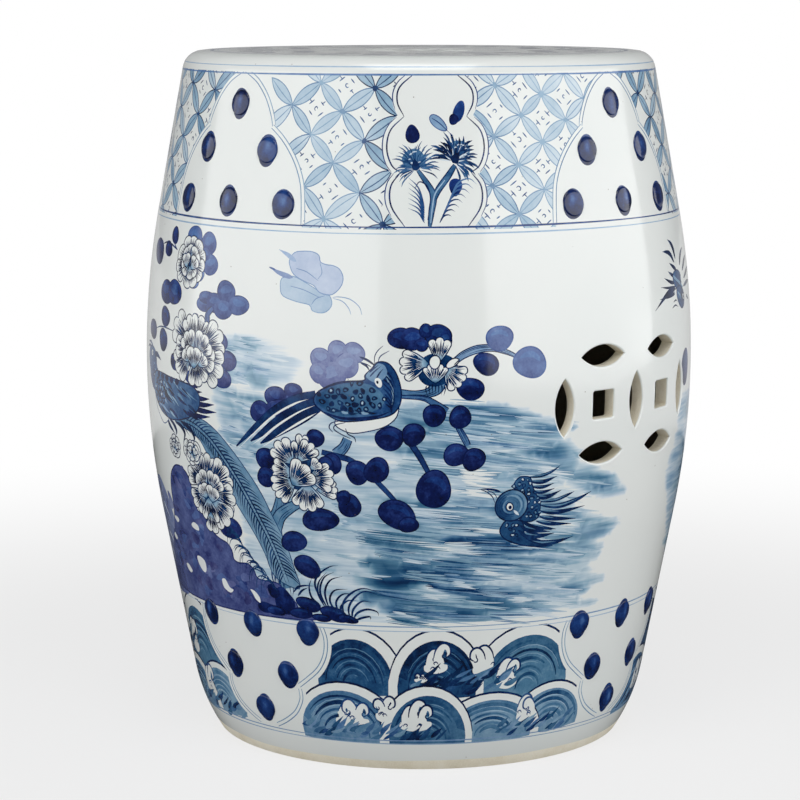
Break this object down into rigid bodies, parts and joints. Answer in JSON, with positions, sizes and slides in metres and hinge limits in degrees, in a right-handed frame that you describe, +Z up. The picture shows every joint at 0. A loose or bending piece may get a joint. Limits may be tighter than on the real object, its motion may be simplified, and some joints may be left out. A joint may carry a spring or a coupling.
{
  "type": "garden stool",
  "caption": "Barrel-shaped hollow ceramic garden stool with a flat round seat, pierced coins, raised bosses and blue-and-white painting.",
  "frame": {"origin": "centre of the foot, on the floor", "axes": "+Z up along the stool's axis, -Y towards the front, +X and -X towards the pierced double coins"},
  "size_m": [0.3686, 0.3685, 0.457],
  "materials": {
    "white_glaze": "clear gloss glaze over white body, painted in cobalt blue under the glaze",
    "cobalt_glaze": "gloss glaze over dark cobalt blue, paler where it thins on the domes",
    "bare_clay": "unglazed fired clay, matt"
  },
  "bodies": {
    "root": {"seat_slab": "white_glaze", "shoulder_ring": "white_glaze", "barrel": "white_glaze", "base_ring": "white_glaze", "foot_ring": "white_glaze", "seat_joint_coil": "bare_clay", "shoulder_joint_coil": "bare_clay", "base_joint_coil": "bare_clay", "foot_joint_coil": "bare_clay", "upper_bosses": "cobalt_glaze", "lower_bosses": "cobalt_glaze"}
  },
  "joints": []
}
